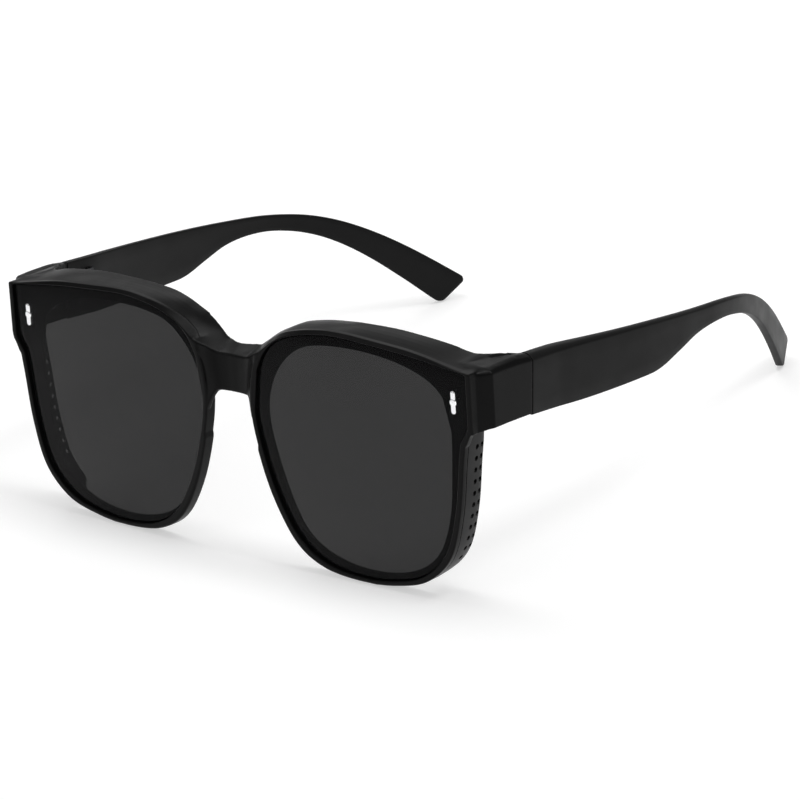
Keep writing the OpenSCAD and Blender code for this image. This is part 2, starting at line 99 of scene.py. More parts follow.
# Outer edge of the lip: place, then how far in it starts, how deep it goes and how flat it is.
LIP_EDGE = [[0, 0.3, 0.3, 0], [0.1, 0.35, 0.35, 0], [4, 0.35, 0.35, 0], [5, 0.7, 0.7, 0],
            [8.5, 0.7, 0.7, 0], [9.5, 0.4, 0.4, 0], [11.5, 0.4, 0.4, 0], [12.3, 0.75, 1.2, 0.6],
            [12.8, 1.05, 2.3, 1], [13.3, 1.0, 2.3, 1], [14, 0.9, 1.2, 1], [14.6, 0.85, 0.55, 1],
            [17.2, 0.8, 0.5, 1], [17.9, 0.5, 0.4, 0.4], [18.05, 0.3, 0.3, 0], [19.1, 0.3, 0.3, 0]]
# Rear edge of the rim's wall: how far in and how far back on the plain rim, then the same on the brow.
REAR_EDGE = [[0.1, -0.1, 0.2, 0.14], [0.3, 0, 0.7, 0.26], [0.5, 0, 1.3, 0.2], [0.8, 0, 1.9, -0.2]]
# Back of the rim: how far in on the plain rim and on the brow, how far back, and share of the deeper nose.
BACK_FACE = [[1.1, 2.3, 0.9, 1.0], [1.5, 2.7, 0.0, 0.3]]
# Edge of the sight opening, from the back to the pocket's floor: how far out, and how far back.
LEDGE = [[0.3, RIM_BACK], [0.07, RIM_BACK - 0.06], [0, RIM_BACK - 0.3], [0, FLOOR_Y + 0.2], [0.12, FLOOR_Y]]

# Bridge, by share of the way out to the rim: its front face, front top edge, back and rear top edge.
BRIDGE = [[0, 1.9, 5.05, 5.5, 7.3], [0.2, 1.85, 5.05, 5.85, 7.3], [0.4, 1.65, 5.15, 6.7, 7.3],
          [0.56, 1.4, 5.3, 7.4, 7.4], [0.7, 1.0, 5.7, 7.6, 8.9], [0.85, 0.3, 6.6, 7.8, 10.6],
          [1.0, -0.65, 7.5, 7.9, 11.4], [1.1, -0.78, 8.0, 7.9, 11.7]]
BRIDGE_FOOT, BRIDGE_FALL, BRIDGE_ROUND = -4.6, 5, 0.4
REAR_FOOT_Y, REAR_FOOT_Z = 4.3, -3.3

# End piece, by distance back: heights of its crest, its outer top edge and its foot.
CREST = [[3.9, 12.2], [7, 12.5], [10, 12.78], [16.5, 12.78], [21, 12.0]]
OUTER_TOP = [[3.9, 11.3], [6.8, 11.4], [11.5, 11.28], [16.2, 11.03], [21, 10.56]]
HINGE_FOOT = [[3.9, -2.5], [5.5, -1.95], [7, -1.64], [12, -1.7], [21, -2.0]]
CREST_X, CREST_Z, CREST_FALL = 72.8, 12.78, 0.21
CHAMFER_Y, CHAMFER_END, END_ROUND, SEAM_PINCH = 3.9, 7.0, 0.25, 0.1
BESIDE_LENS_X, BEHIND_LENS_X = 72.66, 69.6
SEAM_LEAN, LEAN_REACH, LEAN_Z = 0.083, 7, 4.7
# Web from brow to end piece, in plan: its free edge, then its other corners.
WEB_SWEEP = [[64.2, 10.6], [66.1, 11.5], [68.7, 13.4], [70.9, 16.5], [72.9, 20.6]]
WEB_CORNERS = [[73.2, 20.8], [73.2, 6.0], [70, 5.0], [64.2, 6.0]]
WEB_T, WEB_FOOT, WEB_TOP, WEB_EDGE, WEB_HIDDEN_EDGE = 2.1, 9.9, 13.75, 0.5, 0.05

# Rivet: bars above and below a round boss, by width, height, how proud and how domed.
RIVET_IN, RIVET_LOWER = 4.2, 0.4
BAR_W, BAR_H, BAR_APART, BAR_PROUD, BAR_DOME = 1.4, 2.7, 1.5, 0.22, 0.2
BOSS_D, BOSS_PROUD, BOSS_DOME = 2.05, 0.25, 0.22

# Temple: its bow in plan, and its top and foot seen from the side, as shares of its length, curl and drop.
TEMPLE_BOW = [[0, 0], [0.14, 0.05], [0.27, 0.085], [0.41, 0.08],
              [0.55, 0], [0.68, -0.2], [0.83, -0.55], [1, -1]]
TOP_SHAPE = [[0, 0], [0.35, 0.094], [0.5, 0.146], [0.6, 0.196],
             [0.69, 0.28], [0.78, 0.43], [0.89, 0.692], [1, 1]]
FOOT_SHAPE = [[0, 0.375], [0.145, 0.412], [0.283, 0.426], [0.352, 0.414], [0.414, 0.358], [0.475, 0.303],
              [0.545, 0.284], [0.614, 0.313], [0.698, 0.426], [0.79, 0.635], [0.868, 0.872], [0.945, 1.165]]
# Temple, by distance back: what is added to the heights of top and foot, its thickness, and its top's slope.
TOP_EXTRA = [[21, 0.75], [28, 0.85], [33, 0.85], [38, 0.75], [45, 0.62], [53, 0.45], [62, 0.3],
             [70, 0.18], [78, 0.07], [90, 0.12], [104, 0.35], [115, 0.7], [130, 1.0], [140, 0.7], [152, 0.2]]
FOOT_EXTRA = [[21, -0.75], [38, -0.8], [59, -0.75], [66, -0.9], [74, -0.6], [83, -0.25],
              [92, -0.35], [100, -0.4], [107, -0.15], [118, 0.1], [128, -0.4], [134, -0.55],
              [140, -0.2], [144, 0.2], [152, 0.2]]
TEMPLE_THICK = [[21, 3.6], [31, 3.6], [38, 3.2], [46, 2.7], [55, 2.4], [75, 2.2], [110, 2.0], [152, 2.0]]
TOP_FALL = [[21, 1.44], [28, 1.3], [36, 1.05], [45, 0.85], [60, 0.6], [80, 0.5], [152, 0.45]]
TEMPLE_START = SEAM_Y + SEAM_GAP
ARM_PATH, ARM_END_GAP, ARM_ROOT, ARM_EDGE, ARM_TIP = 150.0, 0.25, 0.15, 0.35, 3.2
STEPS = 10


# curves and outlines
def rest(p):
    """Metres as the glasses rest, from millimetres about the bridge with the lenses upright."""
    p = np.asarray(p, float).reshape(-1, 3)
    c, s = math.cos(TILT), math.sin(TILT)
    return np.c_[p[:, 0], p[:, 1] * c + p[:, 2] * s - MID_Y, p[:, 2] * c - p[:, 1] * s + REST_Z] * MM


def half(p):
    """Turns one half back by the wrap."""
    p = np.asarray(p, float).reshape(-1, 3)
    c, s = math.cos(WRAP), math.sin(WRAP)
    return np.c_[p[:, 0] * c - p[:, 1] * s, p[:, 0] * s + p[:, 1] * c, p[:, 2]]


def catmull(a, b, c, d, t):
    """Point between b and c on the smooth curve through all four."""
    square = (2 * a - 5 * b + 4 * c - d) * t * t
    cube = (3 * b - a - 3 * c + d) * t ** 3
    return 0.5 * (2 * b + (c - a) * t + square + cube)


def curve(p, steps=STEPS):
    """Smooth open curve through points."""
    p = np.asarray(p, float)
    q = np.concatenate([[2 * p[0] - p[1]], p, [2 * p[-1] - p[-2]]])
    out = [catmull(*q[i - 1:i + 3], k / steps) for i in range(1, len(q) - 2) for k in range(steps)]
    return np.array(out + [p[-1]])


def closed_curve(p, steps=STEPS):
    """Smooth closed curve through points."""
    p = np.asarray(p, float)
    n = len(p)
    return np.array([catmull(p[i - 1], p[i], p[(i + 1) % n], p[(i + 2) % n], k / steps)
                     for i in range(n) for k in range(steps)])


def unit(v):
    """Vectors brought to length 1."""
    v = np.asarray(v, float)
    return v / (np.linalg.norm(v, axis=-1, keepdims=True) + 1e-12)


def at(table, u, column=1):
    """Value of a smooth table at a place along it; the first column is the place."""
    c = curve(table, 12)
    return np.interp(u, c[:, 0], c[:, column])


def along(table, u, column=1):
    """Value of a straight-sided table at a place along it."""
    t = np.array(table, float)
    return np.interp(u, t[:, 0], t[:, column])


def smooth(t):
    """Rises softly from 0 to 1."""
    t = np.clip(t, 0, 1)
    return t * t * (3 - 2 * t)


def drawn_in(r, left):
    """How far a rounded end of radius r has drawn in, at a distance left before its tip."""
    e = max(0.0, r - left)
    return r - math.sqrt(max(0.0, r ** 2 - e ** 2))


def bend(a, b, c, r, n=5):
    """Points round corner b, between two straight sides."""
    p, q = b + unit(a - b) * r, b + unit(c - b) * r
    return [p * (1 - t) ** 2 + b * 2 * t * (1 - t) + q * t * t for t in np.linspace(0, 1, n)]


def on_lens(s):
    """X and Z of a place given by shares of the lens's width and height."""
    return np.array([LENS_GAP / 2, LENS_FOOT]) + np.asarray(s, float) * [LENS_W, LENS_H]


def normals(p):
    """Outward normals of a closed outline, and how much a mitred offset stretches them."""
    d = unit(np.roll(p, -1, 0) - p)
    s = np.c_[-d[:, 1], d[:, 0]]
    a, b = np.roll(s, 1, 0), s
    return unit(a + b), np.linalg.norm(a + b, axis=1) / (1 + (a * b).sum(1))


def grow(p, nose, side, top, foot):
    """Offsets an outline outwards, by a width of its own towards each side."""
    n, stretch = normals(p)
    w = n[:, 0] ** 2 * np.where(n[:, 0] > 0, side, nose) + n[:, 1] ** 2 * np.where(n[:, 1] > 0, top, foot)
    return p + n * (stretch * w)[:, None]


def outline():
    """The lens's outline with its ear's corners rounded, and each point's place along LENS_SHAPE."""
    line = curve(on_lens(LENS_SHAPE))
    u = list(np.arange(len(line)) / STEPS)
    low = on_lens(EAR_LOW)
    top = bend(line[-2], line[-1], low, EAR_TOP_R)
    foot = bend(line[-1], low, line[0], EAR_LOW_R)
    first = bend(low, line[0], line[3], EAR_INNER_R)
    points = first + list(line[3:-1]) + top + foot
    places = [0.0, 0.05, 0.1, 0.15, 0.2] + u[3:-1]
    places += list(EAR_PLACE + np.linspace(-0.02, 0.04, 5)) + list(np.linspace(18.9, 19.1, 5))
    return np.array(points), np.array(places)


def rim_outline():
    """The rim's outer edge: wider at the upper nose corner, fuller lower down, crisp at the ear's corner."""
    n, _ = normals(POCKET)
    nose = LIP_NOSE + NOSE_WIDER * np.exp(-((U - NOSE_CORNER) / NOSE_SPREAD) ** 2)
    top = LIP_TOP - TOP_NARROWER * smooth((U - 16.6) / 1.4)
    p = grow(POCKET, nose, LIP_SIDE, top, LIP_FOOT)
    fuller = 0.4 + 0.45 * (U > 5.5)
    p += n * (fuller * abs(2 * n[:, 0] * n[:, 1]) * (n[:, 1] < 0) * (U < 10))[:, None]
    first = int(np.argmin(abs(U - 17.98)))
    corner = EAR + [PLAY + LIP_SIDE, PLAY + LIP_TOP - TOP_NARROWER]
    p[first:first + 5] = bend(p[first - 1], corner, p[first + 5], 0.4)
    return p


LENS, U = outline()
EAR, EAR_FOOT = on_lens([1, 0.94]), on_lens(EAR_LOW)
POCKET = grow(LENS, PLAY, PLAY, PLAY, PLAY)
RIM = rim_outline()
SIGHT = closed_curve(on_lens(SIGHT_SHAPE))
EAR_X = EAR[0] + PLAY + LIP_SIDE
TEMPLE_OUT = EAR_X + TEMPLE_FLARE
TEMPLE_TOP = EAR[1] - TEMPLE_SET
END_FOOT = TEMPLE_TOP - FOOT_SHAPE[0][1] * TIP_DROP
RIVET = np.array([EAR[0] - RIVET_IN, (EAR[1] + EAR_FOOT[1]) / 2 - RIVET_LOWER])


# mesh helpers
def loft(rings, loop=False):
    """Skin over rings of points, closed at both ends or round into a loop."""
    n, k = len(rings), len(rings[0])
    faces = []
    for i in range(n if loop else n - 1):
        a, b = i * k, (i + 1) % n * k
        faces += [(a + j, a + (j + 1) % k, b + (j + 1) % k, b + j) for j in range(k)]
    if not loop:
        faces += [tuple(range(k))[::-1], tuple((n - 1) * k + j for j in range(k))]
    return np.concatenate(rings), faces


def mesh_object(name, parts, material, side=1):
    """One object from parts, each points at rest and faces, mirrored for the other side."""
    verts, faces = [], []
    for v, f in parts:
        faces += [tuple(len(verts) + i for i in face) for face in f]
        verts += [tuple(p) for p in np.asarray(v) * [side, 1, 1]]
    mesh = bpy.data.meshes.new(name)
    mesh.from_pydata(verts, [], faces)
    bm = bmesh.new()
    bm.from_mesh(mesh)
    bmesh.ops.recalc_face_normals(bm, faces=bm.faces)
    for f in bm.faces:
        f.smooth = True
    bm.to_mesh(mesh)
    bm.free()
    mesh.materials.append(material)
    o = bpy.data.objects.new(name, mesh)
    bpy.context.scene.collection.objects.link(o)
    return o


def settle(o, angle=None):
    """Applies the object's modifiers, and keeps edges sharper than the angle."""
    dg = bpy.context.evaluated_depsgraph_get()
    mesh = bpy.data.meshes.new_from_object(o.evaluated_get(dg))
    o.modifiers.clear()
    o.data = mesh
    if angle:
        mesh.set_sharp_from_angle(angle=math.radians(angle))
    return o


def finish_piece(o, body, node):
    """Ties a piece to its body, and hides the node that it stands for."""
    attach(o, body)
    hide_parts(node)


# materials
def material(name, color, rough, **sockets):
    """A new material, its node tree and its shader."""
    m = bpy.data.materials.new(name)
    m.use_nodes = True
    b = m.node_tree.nodes["Principled BSDF"]
    b.inputs["Base Color"].default_value = (*color, 1)
    b.inputs["Roughness"].default_value = rough
    for k, v in sockets.items():
        b.inputs[k.replace("_", " ")].default_value = v
    return m, m.node_tree, b


def noise(t, scale, detail, stretch=(1, 1, 1)):
    """Noise that is fixed to the object."""
    n, l = t.nodes, t.links
    co = n.new("ShaderNodeTexCoord")
    mp = n.new("ShaderNodeMapping")
    mp.inputs["Scale"].default_value = stretch
    tex = n.new("ShaderNodeTexNoise")
    tex.inputs["Scale"].default_value = scale
    tex.inputs["Detail"].default_value = detail
    l.new(co.outputs["Object"], mp.inputs["Vector"])
    l.new(mp.outputs["Vector"], tex.inputs["Vector"])
    return tex.outputs["Fac"]


def spread(t, value, low, high):
    """Maps the middle of a noise to a range."""
    r = t.nodes.new("ShaderNodeMapRange")
    r.inputs["From Min"].default_value, r.inputs["From Max"].default_value = 0.3, 0.7
    r.inputs["To Min"].default_value, r.inputs["To Max"].default_value = low, high
    t.links.new(value, r.inputs["Value"])
    return r.outputs["Result"]


def two_tone(t, value, a, b, socket):
    """Mixes two colours by a value."""
    m = t.nodes.new("ShaderNodeMix")
    m.data_type = "RGBA"
    t.links.new(value, m.inputs["Factor"])
    m.inputs["A"].default_value, m.inputs["B"].default_value = (*a, 1), (*b, 1)
    t.links.new(m.outputs["Result"], socket)


def bump(t, value, strength, distance, b):
    """Raises the surface of shader b by a value."""
    n = t.nodes.new("ShaderNodeBump")
    n.inputs["Strength"].default_value, n.inputs["Distance"].default_value = strength, distance
    t.links.new(value, n.inputs["Height"])
    t.links.new(n.outputs["Normal"], b.inputs["Normal"])


def moulded(name, dark, light, rough_low, rough_high, grain=0.06, **sockets):
    """Satin moulded plastic: a faint mottle, uneven gloss and a fine skin."""
    m, t, b = material(name, light, rough_high, **sockets)
    two_tone(t, spread(t, noise(t, 60, 4), 0, 1), dark, light, b.inputs["Base Color"])
    t.links.new(spread(t, noise(t, 140, 3), rough_low, rough_high), b.inputs["Roughness"])
    bump(t, noise(t, 3500, 2), grain, 0.00003, b)
    return m


def metal(name, color, rough, stretch, lines):
    """Metal with a fine drawn or turned grain."""
    m, t, b = material(name, color, rough, Metallic=1.0)
    n = noise(t, lines, 2, stretch)
    t.links.new(spread(t, n, rough * 0.8, rough * 1.3), b.inputs["Roughness"])
    bump(t, n, 0.12, 0.00002, b)
    return m


frame_plastic = moulded("frame_plastic", (0.0035, 0.0035, 0.0036), (0.0055, 0.0055, 0.0056), 0.28, 0.36,
                        Specular_IOR_Level=0.09)
temple_plastic = moulded("temple_plastic", (0.0035, 0.0035, 0.0036), (0.0055, 0.0055, 0.0056), 0.38, 0.48,
                         Specular_IOR_Level=0.155)
shield_plastic = moulded("shield_plastic", (0.007, 0.007, 0.0071), (0.011, 0.011, 0.0111), 0.38, 0.46, 0.04,
                         Specular_IOR_Level=0.16)
washer_plastic = moulded("washer_plastic", (0.62, 0.61, 0.58), (0.72, 0.71, 0.68), 0.45, 0.55, 0.05)
rivet_metal = metal("rivet_metal", (0.93, 0.93, 0.94), 0.22, (1, 1, 6), 1500)
hinge_metal = metal("hinge_metal", (0.04, 0.04, 0.042), 0.34, (1, 6, 1), 1800)
screw_metal = metal("screw_metal", (0.66, 0.66, 0.67), 0.27, (1, 1, 5), 2600)


def smoke():
    """Dark smoke sheet with a faint mottle and faint polishing marks."""
    m, t, b = material("smoke_lens", (0.006, 0.006, 0.0064), 0.05, Alpha=0.82)
    b.inputs["Specular IOR Level"].default_value = 0.06
    mottle = spread(t, noise(t, 40, 2), 0, 1)
    two_tone(t, mottle, (0.0055, 0.0055, 0.006), (0.007, 0.007, 0.0074), b.inputs["Base Color"])
    t.links.new(spread(t, noise(t, 500, 3), 0.035, 0.07), b.inputs["Roughness"])
    return m


smoke_lens = smoke()


# front frame
def rim_and_brow():
    """One closed ring: a beaded lip, the outer wall, the brow shelf, the back and the ledge."""
    n, _ = normals(RIM)
    n_brow = np.where((U > 17.5)[:, None], unit([0.1, 1.0]), n)
    inward = unit(POCKET - RIM)
    lip = np.linalg.norm(POCKET - RIM, axis=1)
    centre = on_lens([0.47, 0.47])
    sight = np.array([ray_hit(centre, p) for p in POCKET])
    out = unit(RIM - sight)
    deep = np.linalg.norm(RIM - sight, axis=1)
    shelf = smooth((U - BROW_START) / BROW_FADE) * (U <= BROW_END)
    brow, brow_y = np.c_[at(BROW_BACK, U, 1), at(BROW_BACK, U, 3)], at(BROW_BACK, U, 2)
    back_y = RIM_BACK + NOSE_DEEPER * smooth((U - 10.9) / 0.8) * (U < 13)
    rows = []

    def row(xz, y):
        rows.append(np.c_[xz[:, 0], np.broadcast_to(y, len(xz)), xz[:, 1]])

    def mixed(plain, plain_y, on_brow, on_brow_y):
        k = shelf[:, None]
        row(plain * (1 - k) + on_brow * k, plain_y * (1 - shelf) + on_brow_y * shelf)

    def lip_at(t):
        return POCKET - inward * np.minimum(t, lip)[:, None]

    # pocket wall and the lip's inner edge
    row(POCKET, FLOOR_Y)
    row(POCKET, 0.6)
    for t, y in LIP_INNER:
        row(lip_at(t), y - LIP_PROUD)
    # the lip's outer edge, rounded or bevelled
    r, edge_y, flat = np.minimum(0.8 * lip, along(LIP_EDGE, U)), along(LIP_EDGE, U, 2), along(LIP_EDGE, U, 3)
    for t in np.linspace(0, 1, 6):
        a = t * math.pi / 2
        out_share = flat * t + (1 - flat) * math.sin(a)
        back_share = flat * t + (1 - flat) * (1 - math.cos(a))
        row(lip_at(lip - r + r * out_share), -LIP_PROUD + edge_y * back_share)
    # outer wall, stepped in beside the shield, and out over the brow
    side_y = np.maximum(0.8, edge_y - LIP_PROUD + 0.05)
    side = RIM - n * shield_step()[:, None]
    row(RIM, side_y)
    row(side, side_y + 0.15)
    for t in (0.2, 0.4, 0.6, 0.8, 1.0):
        k = shelf * (1 - smooth((U - 16.3) / 1.4))
        bulge = BROW_BULGE * math.sin(math.pi * t) * k[:, None] * n
        end = side * (1 - shelf[:, None]) + brow * shelf[:, None]
        end_y = (back_y - 0.3) * (1 - shelf) + brow_y * shelf
        row(side + (end - side) * t + bulge, side_y + 0.15 + (end_y - side_y - 0.15) * t)
    # rear edge and back
    for a, ay, c, cy in REAR_EDGE:
        mixed(side - n * a, back_y + ay, brow - n_brow * c, brow_y + cy)
    for plain, under, y, share in BACK_FACE:
        near = np.minimum(plain, deep - 0.35)[:, None]
        reach = np.minimum(under, deep - 0.35)[:, None]
        mixed(RIM - out * near, RIM_BACK + (back_y - RIM_BACK) * share, RIM - out * reach, RIM_BACK + y)
    # ledge round the sight opening
    for d, y in LEDGE:
        row(sight + out * d, y)
    rings = [np.array([r[i] for r in rows]) for i in range(len(RIM))]
    v, f = loft(rings, loop=True)
    return rest(half(v)), f


def shield_step():
    """How far the rim's wall steps in beside the shield and under the end piece."""
    lower = 0.5 * smooth((4.2 - U) / 0.3)
    upper = 0.65 * smooth((0.45 - U) / 0.3)
    return lower + upper + 1.15 * smooth((U - 18.88) / 0.08)


def ray_hit(c, p):
    """Where the line from c through p crosses the sight opening's outline."""
    d = p - c
    a, b = SIGHT, np.roll(SIGHT, -1, 0)
    e = b - a
    den = d[0] * e[:, 1] - d[1] * e[:, 0]
    den = np.where(abs(den) < 1e-9, 1e-9, den)
    q = a - c
    t = (q[:, 0] * e[:, 1] - q[:, 1] * e[:, 0]) / den
    s = (q[:, 0] * d[1] - q[:, 1] * d[0]) / den
    ok = (t > 0) & (s >= -1e-6) & (s <= 1 + 1e-6)
    return c + d * t[ok].max()


def rounded(poly, r, n=4):
    """The polygon with its corners rounded."""
    poly = np.asarray(poly, float)
    return np.array([q for i in range(len(poly))
                     for q in bend(poly[i - 1], poly[i], poly[(i + 1) % len(poly)], r, n)])


def bridge():
    """Bar between the rims, set back in the middle, which opens out into their edges."""
    nose = (U > 9) & (U < 13.3)
    rings = []
    for k in np.linspace(-1.1, 1.1, 61):
        a = abs(k)
        front, front_top, back, back_top = (float(at(BRIDGE, a, i)) for i in (1, 2, 3, 4))
        foot = BRIDGE_FOOT - BRIDGE_FALL * min(1.0, max(0.0, (a - 0.62) / 0.38)) ** 2.5
        rear_foot = [REAR_FOOT_Y - 1.8 * a * a, REAR_FOOT_Z]
        sec = rounded([[front, foot + 0.5], [front, front_top], [back, back_top], rear_foot,
                       [front + 1.2, foot]], BRIDGE_ROUND)
        x = k * np.interp(sec[:, 1], RIM[nose, 1], RIM[nose, 0])
        rings.append(np.c_[x, sec[:, 0] + abs(x) * math.sin(WRAP), sec[:, 1]])
    v, f = loft(rings)
    return rest(v), f


def top_at(x, y):
    """Height of the web's top: it falls outwards, forwards and towards the seam."""
    return min(WEB_TOP, CREST_Z + CREST_FALL * (CREST_X - x)) - CREST_Z + along(CREST, y)


def spaced(poly, gap):
    """The polygon with points put in along its sides."""
    out = []
    for a, b in zip(poly, np.roll(poly, -1, 0)):
        k = max(1, int(np.linalg.norm(b - a) / gap))
        out += [a + (b - a) * i / k for i in range(k)]
    return np.array(out)


def lean(v):
    """Tips the seam between end piece and temple a little, and fades out on both sides of it."""
    k = np.clip(1 - abs(v[:, 1] - SEAM_Y) / LEAN_REACH, 0, 1)
    return v + np.c_[np.zeros(len(v)), SEAM_LEAN * (v[:, 2] - LEAN_Z) * k, np.zeros(len(v))]


def end_section(y):
    """Outline across the end piece at a distance back, drawn in a little at the seam."""
    inner = np.interp(y, [4.5, 4.6, 7.0, 7.3], [BESIDE_LENS_X, BEHIND_LENS_X, BEHIND_LENS_X, CREST_X])
    outer = np.interp(y, [CHAMFER_Y, CHAMFER_END], [EAR_X, TEMPLE_OUT])
    pinch = SEAM_PINCH if y == SEAM_Y else 0.0
    foot, crest, edge = along(HINGE_FOOT, y), along(CREST, y), along(OUTER_TOP, y)
    high = crest + CREST_FALL * (CREST_X - inner)
    flat_end = max(CREST_X + 0.1, outer - 2.0)
    slope = [(flat_end + 2 * outer) / 3, crest - 0.4 * (crest - edge) - pinch]
    return rounded([[inner + pinch, foot + pinch], [inner + pinch, high - pinch], [flat_end, crest - pinch],
                    slope, [outer - pinch, edge - pinch], [outer - pinch, foot + pinch]], END_ROUND)


def end_piece():
    """Block that carries the hinge: chamfered at the front corner, its top falling outwards."""
    front_places = [2.0, 3.0, CHAMFER_Y, 4.5, 4.6, 5.9, CHAMFER_END, 7.3]
    rings = []
    for y in np.r_[front_places, np.arange(8.0, 20.6, 0.7), SEAM_Y - SEAM_PINCH, SEAM_Y]:
        sec = end_section(y)
        rings.append(np.c_[sec[:, 0], np.full(len(sec), y), sec[:, 1]])
    v, f = loft(rings)
    return rest(lean(v)), f


def gusset():
    """Web that sweeps back from the brow to the inner edge of the end piece."""
    sweep = curve(WEB_SWEEP, 6)
    line = spaced(np.concatenate([sweep, WEB_CORNERS])[::-1], 1.0)
    gap = np.min(np.linalg.norm(line[:, None] - sweep[None], axis=2), axis=1)
    edge = np.where(gap < 0.6, WEB_EDGE, WEB_HIDDEN_EDGE)
    tops = np.array([top_at(*p) for p in line])
    feet = np.maximum(tops - WEB_T, WEB_FOOT)
    rings = []
    for a in np.radians([0, 45, 90]):
        c = shrink(line, edge * (1 - math.sin(a)))
        rings.append(np.c_[c, feet + edge * (1 - math.cos(a))])
    for a in np.radians([0, 18, 36, 54, 72, 90]):
        c = shrink(line, edge * (1 - math.cos(a)))
        rings.append(np.c_[c, tops - edge * (1 - math.sin(a))])
    v, f = loft(rings)
    return rest(lean(v)), f


def shrink(line, d):
    """Moves each point of a plan outline inwards by its own amount."""
    turn = np.cross(line, np.roll(line, -1, 0)).sum()
    n, stretch = normals(line)
    return line + n * (stretch * d)[:, None] * (1 if turn > 0 else -1)


def mirrored(part):
    """The same part for the other side."""
    return part[0] * [-1, 1, 1], [f[::-1] for f in part[1]]


def upright(p):
    """Millimetres about the bridge, with the lenses upright, from points at rest."""
    p = np.asarray(p) / MM - [0, -MID_Y, REST_Z]
    c, s = math.cos(TILT), math.sin(TILT)
    return np.c_[p[:, 0], p[:, 1] * c - p[:, 2] * s, p[:, 1] * s + p[:, 2] * c]


def join_weights(x, y, z):
    """How strongly points are smoothed: near the bridge's ends, and where brow and end piece meet."""
    nose = smooth((x - 3.5) / 3) * (x < 12.5) * smooth((y - 2.6) / 1.5) * (z > 3)
    corner = smooth((x - 62.5) / 3) * smooth((75.4 - x) / 1.5) * smooth((y - 3) / 2) * (y < 18) * (z > 10.5)
    return np.maximum(nose, corner)


def blend_joins(o):
    """Smooths the moulding further at its joins, and then once all over."""
    n, levels = len(o.data.vertices), 8
    p = np.empty(n * 3)
    o.data.vertices.foreach_get("co", p)
    p = upright(p.reshape(-1, 3))
    weight = np.rint(levels * join_weights(abs(p[:, 0]), p[:, 1], p[:, 2]))
    group = o.vertex_groups.new(name="joins")
    for k in range(1, levels + 1):
        group.add(np.nonzero(weight == k)[0].tolist(), k / levels, "REPLACE")
    blend = o.modifiers.new("blend", "SMOOTH")
    blend.factor, blend.iterations, blend.vertex_group = 0.5, 90, "joins"
    even = o.modifiers.new("even", "SMOOTH")
    even.factor, even.iterations = 0.4, 1


def front_shell():
    """The whole front moulding as one skin."""
    parts = [bridge()]
    for part in (rim_and_brow(), end_piece(), gusset()):
        parts += [part, mirrored(part)]
    shell = mesh_object("front_shell", parts, frame_plastic)
    union = shell.modifiers.new("union", "REMESH")
    union.mode = "VOXEL"
    union.voxel_size = 0.13 * MM
    union.use_smooth_shade = True
    soften = shell.modifiers.new("soften", "SMOOTH")
    soften.factor, soften.iterations = 0.5, 2
    thin = shell.modifiers.new("thin", "DECIMATE")
    thin.ratio = 0.3
    settle(shell)
    blend_joins(shell)
    settle(shell)
    for f in shell.data.polygons:
        f.use_smooth = True
    return shell


finish_piece(front_shell(), "front", "front_frame")


# lenses
def lens_sheet():
    """Flat sheet with softened edges: how far in each ring of points lies, and how far back."""
    rings = []
    for d, y in [(0.3, 0.0), (0.1, 0.05), (0.0, 0.22), (0.0, LENS_T - 0.15), (0.15, LENS_T)]:
        c = grow(LENS, -d, -d, -d, -d)
        rings.append(np.c_[c[:, 0], np.full(len(c), y), c[:, 1]])
    v, f = loft(rings)
    return rest(half(v)), f


def capsule(x, z, w, h, proud, dome):
    """Bar with rounded ends and a domed face, from the lens's back to a little ahead of its front."""
    ang = np.linspace(0, 2 * math.pi, 33)[:-1]
    rings = []
    for inset, y in ((0.02, LENS_T), (0.0, dome - proud), (0.06, 0.5 * dome - proud),
                     (0.2, 0.14 * dome - proud), (0.42, -proud)):
        r = max(w / 2 - inset, 0.02)
        c = np.c_[r * np.cos(ang), r * np.sin(ang) + np.where(np.sin(ang) >= 0, 1, -1) * (h - w) / 2]
        rings.append(np.c_[x + c[:, 0], np.full(len(ang), y), z + c[:, 1]])
    return loft(rings)


def rivet():
    """Two short bars end to end, with a round boss over the joint."""
    x, z = RIVET - [0, 0.2]
    parts = [capsule(x, z + k * BAR_APART, BAR_W, BAR_H, BAR_PROUD, BAR_DOME) for k in (-1, 1)]
    parts.append(capsule(x, z, BOSS_D, BOSS_D, BOSS_PROUD, BOSS_DOME))
    return [(rest(half(v)), f) for v, f in parts]


for name, side in SIDES.items():
    lens = mesh_object(f"lens_sheet_{name}", [lens_sheet()], smoke_lens, side)
    settle(lens, 40)
    finish_piece(lens, "front", f"lens_{name}")
    bars = mesh_object(f"rivet_bar_{name}", rivet(), rivet_metal, side)
    settle(bars, 50)
    finish_piece(bars, "front", f"lens_rivet_{name}")


# side shields
def shield_path():
    """Line down the rim's outer edge from under the end piece, and the distance along it."""
    line = [p for p, u in zip(RIM, U) if SHIELD_FROM <= u <= SHIELD_TO]
    x = line[0][0]
    path = np.array([[x + 0.7, END_FOOT - 0.05], [x + 0.3, END_FOOT - 1.8]] + line)
    dist = np.r_[0, np.cumsum(np.linalg.norm(np.diff(path, axis=0), axis=1))]
    return path, dist


def on_path(path, dist, s):
    """Point at a distance along the path, and the outward direction there."""
    p, a, b = (np.array([np.interp(s + k, dist, path[:, i]) for i in (0, 1)]) for k in (0, -0.3, 0.3))
    d = unit(b - a)
    return p, np.array([-d[1], d[0]])


